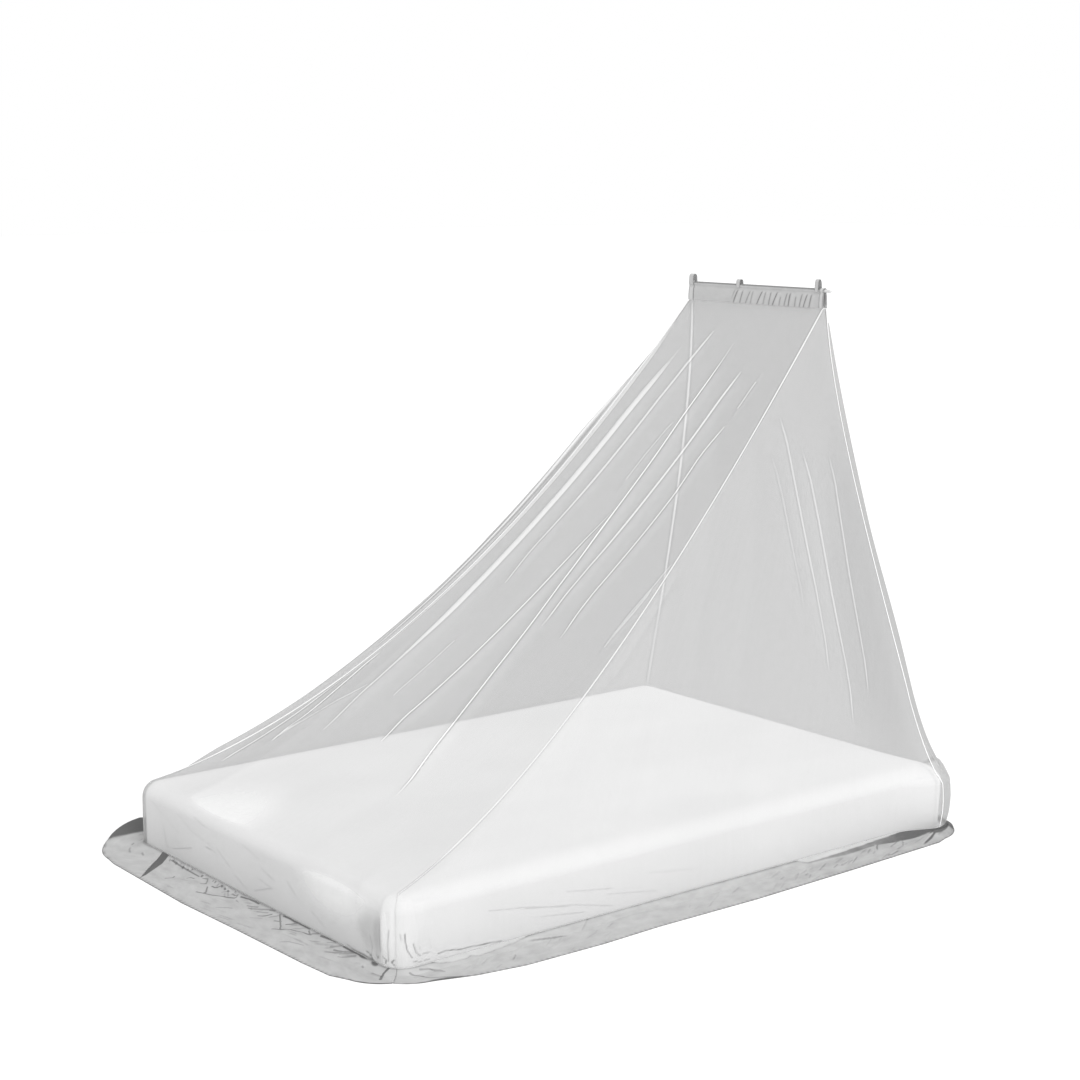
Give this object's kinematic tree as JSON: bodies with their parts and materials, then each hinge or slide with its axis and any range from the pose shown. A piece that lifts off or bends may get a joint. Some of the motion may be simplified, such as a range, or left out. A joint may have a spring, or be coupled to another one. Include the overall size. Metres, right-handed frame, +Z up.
{
  "type": "mosquito net canopy with spreader rod over a mattress",
  "caption": "Wedge-shaped mosquito net canopy hung from a short rod in a gathered sleeve, with sewn net panels and a floor skirt, wrapped over a mattress.",
  "frame": {"origin": "on the floor under the middle of the mattress, at the floor_rest mount", "axes": "+Z up, +Y towards the head end where the rod hangs, +X towards the right-hand long side"},
  "size_m": [1.6284, 2.2698, 1.6592],
  "materials": {
    "fine_net": "sheer fine-mesh polyester net, pale grey-white",
    "seam_tape": "white woven binding tape",
    "header_cloth": "grey plain-woven polyester, gathered",
    "skirt_cloth": "grey plain-woven polyester with soft wrinkles",
    "mattress_cover": "white cotton cover, matt",
    "white_plastic": "smooth white rod"
  },
  "bodies": {
    "root": {"mattress": "mattress_cover", "net_roof": "fine_net", "net_side_right": "fine_net", "net_head": "fine_net", "net_side_left": "fine_net", "seam_foot_right": "seam_tape", "seam_head_right": "seam_tape", "seam_head_left": "seam_tape", "seam_foot_left": "seam_tape", "header_sleeve": "header_cloth", "end_binding_left": "header_cloth", "end_binding_right": "header_cloth", "hanging_tab_left": "header_cloth", "hanging_tab_middle": "header_cloth", "hanging_tab_right": "header_cloth", "spreader_rod": "white_plastic", "skirt_right": "skirt_cloth", "skirt_head": "skirt_cloth", "skirt_left": "skirt_cloth", "skirt_foot": "skirt_cloth"}
  },
  "joints": []
}
